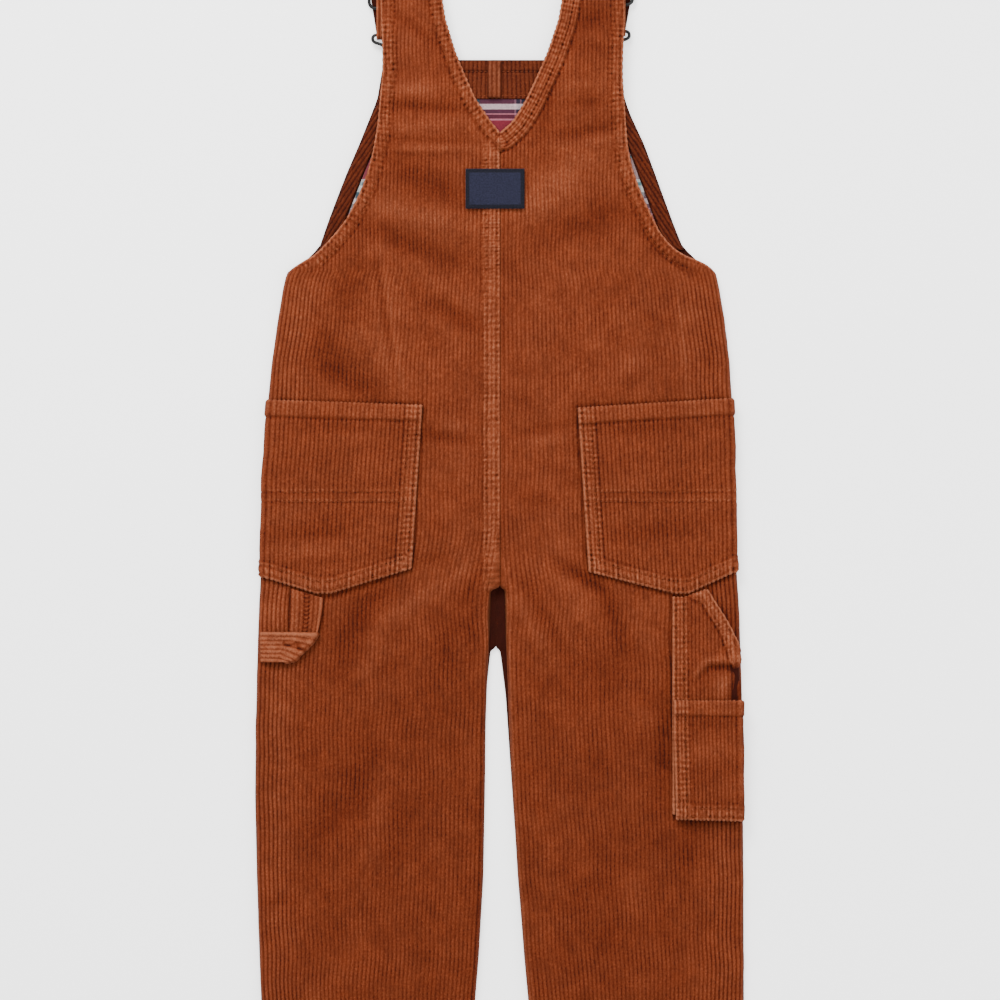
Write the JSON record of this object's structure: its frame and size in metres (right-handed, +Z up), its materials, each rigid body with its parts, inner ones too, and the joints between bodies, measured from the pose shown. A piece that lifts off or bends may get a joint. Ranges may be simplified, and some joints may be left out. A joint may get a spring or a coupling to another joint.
{
  "type": "toddler overalls",
  "caption": "Toddler bib overalls in wide-wale corduroy, laid flat on their front, with back patch pockets, tool pockets, hammer loop and wire buckles.",
  "frame": {"origin": "on the floor, under the middle of the garment's bounding box", "axes": "+Y from the leg hems to the shoulders, +Z up out of the floor, so the back faces up and -X is the wearer's left"},
  "size_m": [0.3332, 0.7908, 0.0141],
  "materials": {
    "corduroy": "rust-brown wide-wale cotton corduroy, matt pile with a soft sheen",
    "facing": "the same corduroy in shade, ribs along the armhole",
    "lining": "brushed cotton check in dark red, navy and pale bands",
    "patch": "tightly woven navy tape, matt",
    "wire": "black enamelled wire, half gloss"
  },
  "bodies": {
    "root": {"back_left": "corduroy", "back_right": "corduroy", "front_left": "corduroy", "front_right": "corduroy", "bib": "corduroy", "facing_top": "facing", "facing_left": "facing", "facing_right": "facing", "facing_tab": "facing", "bib_lining": "lining", "back_pocket_left": "corduroy", "back_pocket_right": "corduroy", "tool_pocket": "corduroy", "small_pocket": "corduroy", "hammer_loop": "corduroy", "back_patch": "patch", "buckle_left": "wire", "slider_left": "wire", "button_left": "wire", "buckle_right": "wire", "slider_right": "wire", "button_right": "wire"}
  },
  "joints": []
}
